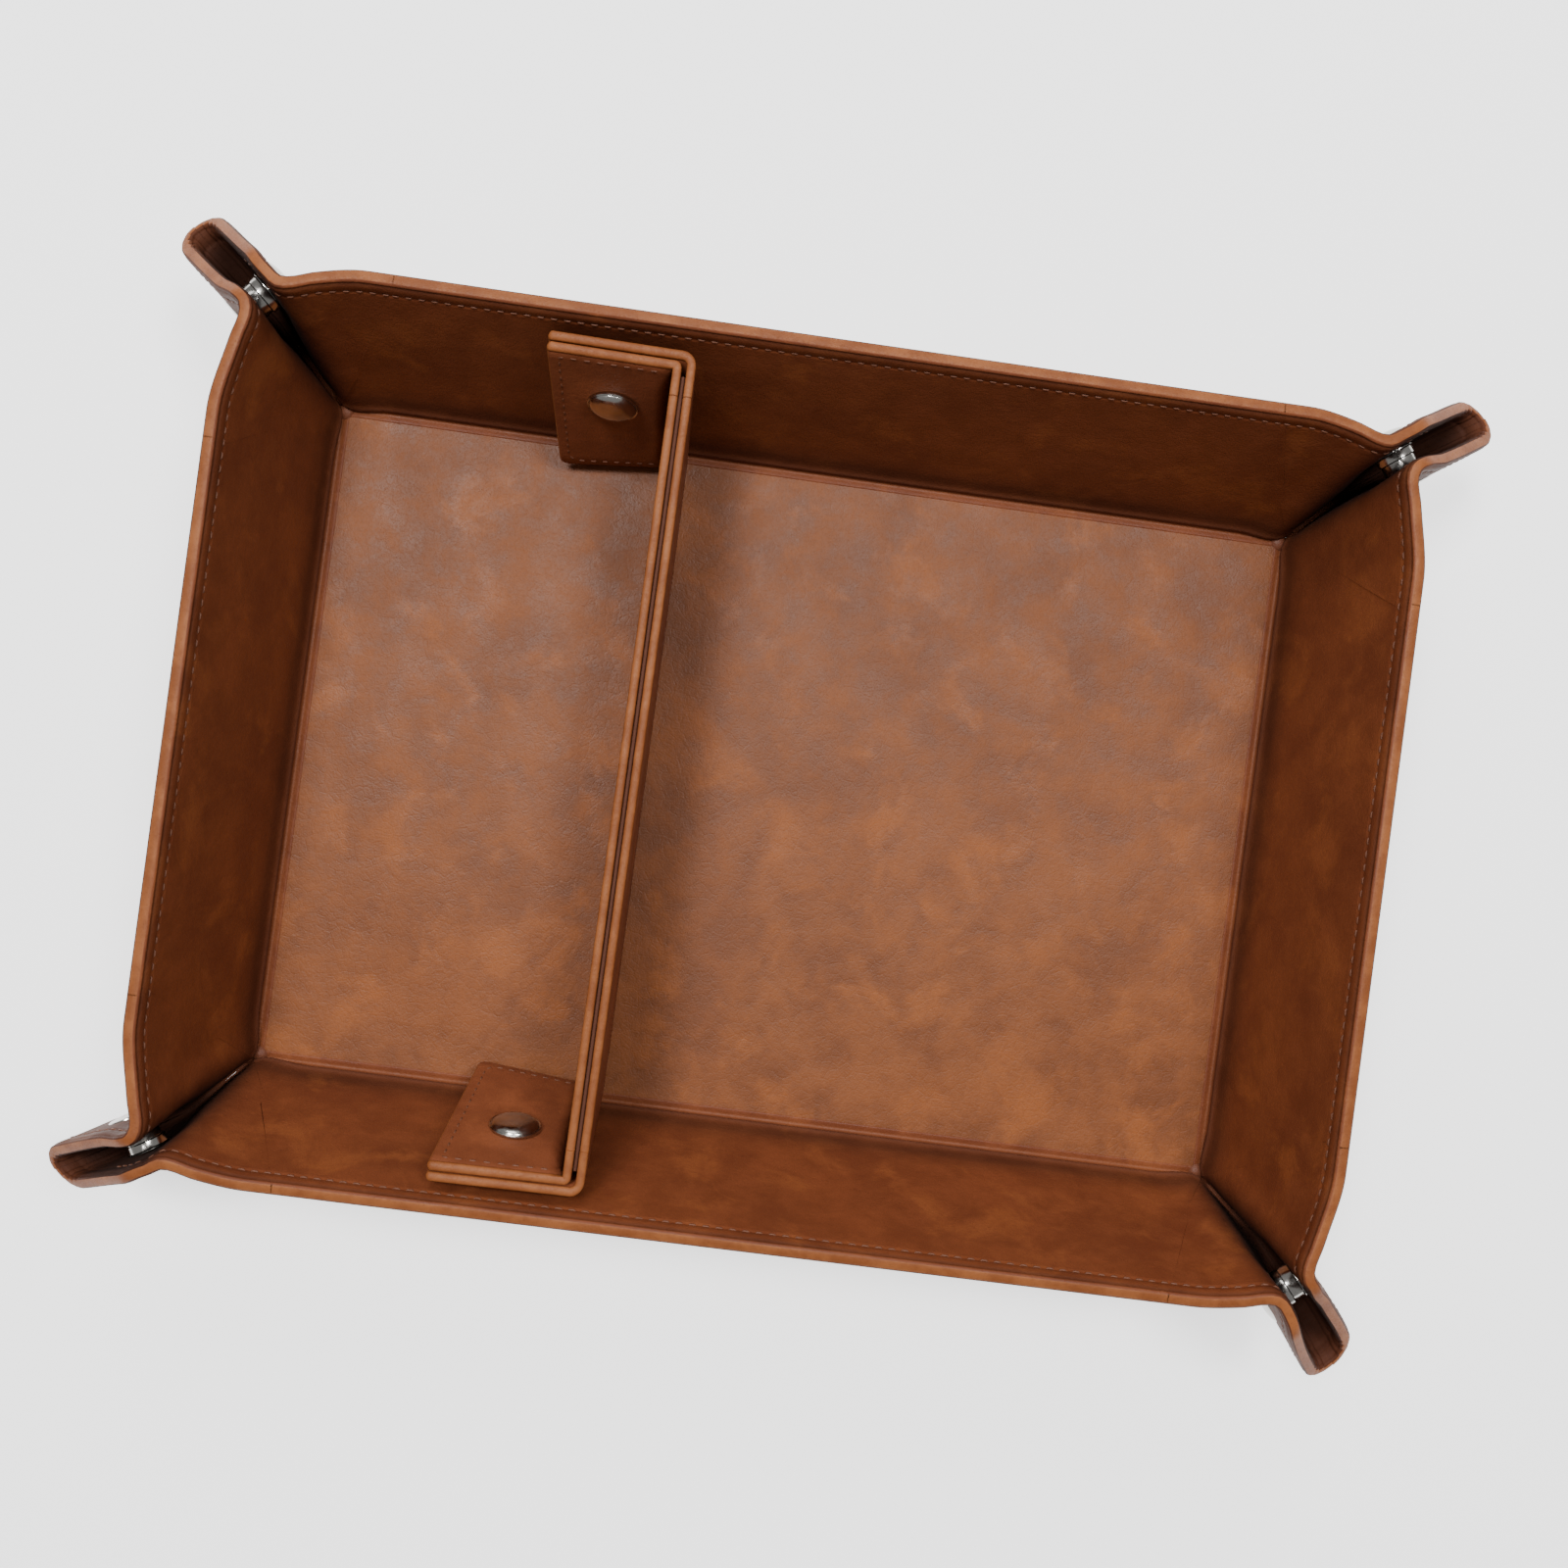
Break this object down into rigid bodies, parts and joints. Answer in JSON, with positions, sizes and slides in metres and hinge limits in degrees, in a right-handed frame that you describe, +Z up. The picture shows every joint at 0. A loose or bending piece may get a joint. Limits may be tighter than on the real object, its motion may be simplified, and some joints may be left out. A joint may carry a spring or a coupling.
{
  "type": "folding dice tray",
  "caption": "Folding leather tray whose pinched corners press-stud together, with a snap-in lift-out divider, for rolling dice and holding small pieces.",
  "frame": {"origin": "middle of the floor's underside, where the tray rests on a table", "axes": "+X along the tray's long side, +Y towards the back wall, +Z up out of the open tray"},
  "size_m": [0.273, 0.2042, 0.0556],
  "materials": {
    "floor_liner": "satin",
    "wall_liner": "satin",
    "outer_skin": "satin",
    "stiffener": "matte",
    "corner_leather": "satin",
    "divider_leather": "satin",
    "snap_metal": "satin",
    "thread": "matte"
  },
  "bodies": {
    "floor": {"floor_board": "stiffener", "floor_liner": "floor_liner", "floor_outer": "outer_skin"},
    "wall_back": {"rim_thread_back": "thread", "wall_back_board": "stiffener", "wall_back_liner": "wall_liner", "wall_back_outer": "outer_skin", "wall_post_back": "snap_metal", "wall_stud_back": "snap_metal"},
    "wall_left": {"rim_thread_left": "thread", "wall_left_board": "stiffener", "wall_left_liner": "wall_liner", "wall_left_outer": "outer_skin"},
    "wall_front": {"rim_thread_front": "thread", "wall_front_board": "stiffener", "wall_front_liner": "wall_liner", "wall_front_outer": "outer_skin", "wall_post_front": "snap_metal", "wall_stud_front": "snap_metal"},
    "wall_right": {"rim_thread_right": "thread", "wall_right_board": "stiffener", "wall_right_liner": "wall_liner", "wall_right_outer": "outer_skin"},
    "flap_back_at_left": {"back_wall_left_flap": "corner_leather", "corner_cap_back_left": "snap_metal", "corner_socket_back_left": "snap_metal"},
    "flap_back_at_right": {"back_wall_right_flap": "corner_leather", "corner_cap_back_right": "snap_metal", "corner_socket_back_right": "snap_metal"},
    "flap_left_at_front": {"corner_post_front_left": "snap_metal", "corner_stud_front_left": "snap_metal", "left_wall_front_flap": "corner_leather"},
    "flap_left_at_back": {"corner_post_back_left": "snap_metal", "corner_stud_back_left": "snap_metal", "left_wall_back_flap": "corner_leather"},
    "flap_front_at_right": {"corner_cap_front_right": "snap_metal", "corner_socket_front_right": "snap_metal", "front_wall_right_flap": "corner_leather"},
    "flap_front_at_left": {"corner_cap_front_left": "snap_metal", "corner_socket_front_left": "snap_metal", "front_wall_left_flap": "corner_leather"},
    "flap_right_at_back": {"corner_post_back_right": "snap_metal", "corner_stud_back_right": "snap_metal", "right_wall_back_flap": "corner_leather"},
    "flap_right_at_front": {"corner_post_front_right": "snap_metal", "corner_stud_front_right": "snap_metal", "right_wall_front_flap": "corner_leather"},
    "divider": {"divider_core": "stiffener", "divider_left_skin": "divider_leather", "divider_right_skin": "divider_leather"},
    "tab_back": {"tab_back_inner": "divider_leather", "tab_back_outer": "divider_leather", "tab_cap_back": "snap_metal", "tab_socket_back": "snap_metal"},
    "tab_front": {"tab_cap_front": "snap_metal", "tab_front_inner": "divider_leather", "tab_front_outer": "divider_leather", "tab_socket_front": "snap_metal"}
  },
  "joints": [
    {"name": "fold_wall_back", "type": "hinge", "parent": "floor", "child": "wall_back", "pos_m": [0, 0.075, 0.003], "axis": [-1, 0, 0], "range_deg": [0, 74]},
    {"name": "fold_wall_left", "type": "hinge", "parent": "floor", "child": "wall_left", "pos_m": [-0.11, 0, 0.003], "axis": [0, -1, 0], "range_deg": [0, 79.82]},
    {"name": "fold_wall_front", "type": "hinge", "parent": "floor", "child": "wall_front", "pos_m": [0, -0.075, 0.003], "axis": [1, 0, 0], "range_deg": [0, 75.5]},
    {"name": "fold_wall_right", "type": "hinge", "parent": "floor", "child": "wall_right", "pos_m": [0.11, 0, 0.003], "axis": [0, 1, 0], "range_deg": [0, 79.82]},
    {"name": "fold_flap_back_at_left", "type": "hinge", "parent": "wall_back", "child": "flap_back_at_left", "pos_m": [-0.10732, 0.07509, 0.00338], "axis": [-0.1441, 0.2226, 0.9642], "range_deg": [0, 41.59]},
    {"name": "fold_flap_back_at_right", "type": "hinge", "parent": "wall_back", "child": "flap_back_at_right", "pos_m": [0.10732, 0.07509, 0.00338], "axis": [-0.1441, -0.2226, -0.9642], "range_deg": [0, 41.59]},
    {"name": "fold_flap_left_at_front", "type": "hinge", "parent": "wall_left", "child": "flap_left_at_front", "pos_m": [-0.11008, -0.07272, 0.00352], "axis": [-0.1441, -0.2226, 0.9642], "range_deg": [0, 49.74]},
    {"name": "fold_flap_left_at_back", "type": "hinge", "parent": "wall_left", "child": "flap_left_at_back", "pos_m": [-0.11008, 0.07272, 0.00352], "axis": [0.1441, -0.2226, -0.9642], "range_deg": [0, 49.74]},
    {"name": "fold_flap_front_at_right", "type": "hinge", "parent": "wall_front", "child": "flap_front_at_right", "pos_m": [0.10732, -0.07509, 0.00338], "axis": [0.1441, -0.2226, 0.9642], "range_deg": [0, 41.59]},
    {"name": "fold_flap_front_at_left", "type": "hinge", "parent": "wall_front", "child": "flap_front_at_left", "pos_m": [-0.10732, -0.07509, 0.00338], "axis": [0.1441, 0.2226, -0.9642], "range_deg": [0, 41.59]},
    {"name": "fold_flap_right_at_back", "type": "hinge", "parent": "wall_right", "child": "flap_right_at_back", "pos_m": [0.11008, 0.07272, 0.00352], "axis": [0.1441, 0.2226, 0.9642], "range_deg": [0, 49.74]},
    {"name": "fold_flap_right_at_front", "type": "hinge", "parent": "wall_right", "child": "flap_right_at_front", "pos_m": [0.11008, -0.07272, 0.00352], "axis": [-0.1441, 0.2226, -0.9642], "range_deg": [0, 49.74]},
    {"name": "lift_divider", "type": "slide", "parent": "floor", "child": "divider", "axis": [0, 0, 1], "range_m": [0, 0.06]},
    {"name": "fold_tab_back", "type": "hinge", "parent": "divider", "child": "tab_back", "pos_m": [-0.0333, 0.06867, 0.00446], "axis": [0, 0.225, 0.9744], "range_deg": [0, 65], "deforming": ["tab_socket_back"]},
    {"name": "fold_tab_front", "type": "hinge", "parent": "divider", "child": "tab_front", "pos_m": [-0.0333, -0.06867, 0.00446], "axis": [0, 0.225, -0.9744], "range_deg": [0, 65], "deforming": ["tab_socket_front"]}
  ],
  "couplings": [
    {"joint": "fold_wall_left", "follows": "fold_wall_back", "ratio": 1.0584},
    {"joint": "fold_wall_front", "follows": "fold_wall_back", "ratio": 1},
    {"joint": "fold_wall_right", "follows": "fold_wall_back", "ratio": 1.0584},
    {"joint": "fold_flap_back_at_left", "follows": "fold_wall_back", "ratio": 0.54173},
    {"joint": "fold_flap_back_at_right", "follows": "fold_wall_back", "ratio": 0.54173},
    {"joint": "fold_flap_left_at_front", "follows": "fold_wall_back", "ratio": 0.65184},
    {"joint": "fold_flap_left_at_back", "follows": "fold_wall_back", "ratio": 0.65184},
    {"joint": "fold_flap_front_at_right", "follows": "fold_wall_back", "ratio": 0.54173},
    {"joint": "fold_flap_front_at_left", "follows": "fold_wall_back", "ratio": 0.54173},
    {"joint": "fold_flap_right_at_back", "follows": "fold_wall_back", "ratio": 0.65184},
    {"joint": "fold_flap_right_at_front", "follows": "fold_wall_back", "ratio": 0.65184}
  ]
}
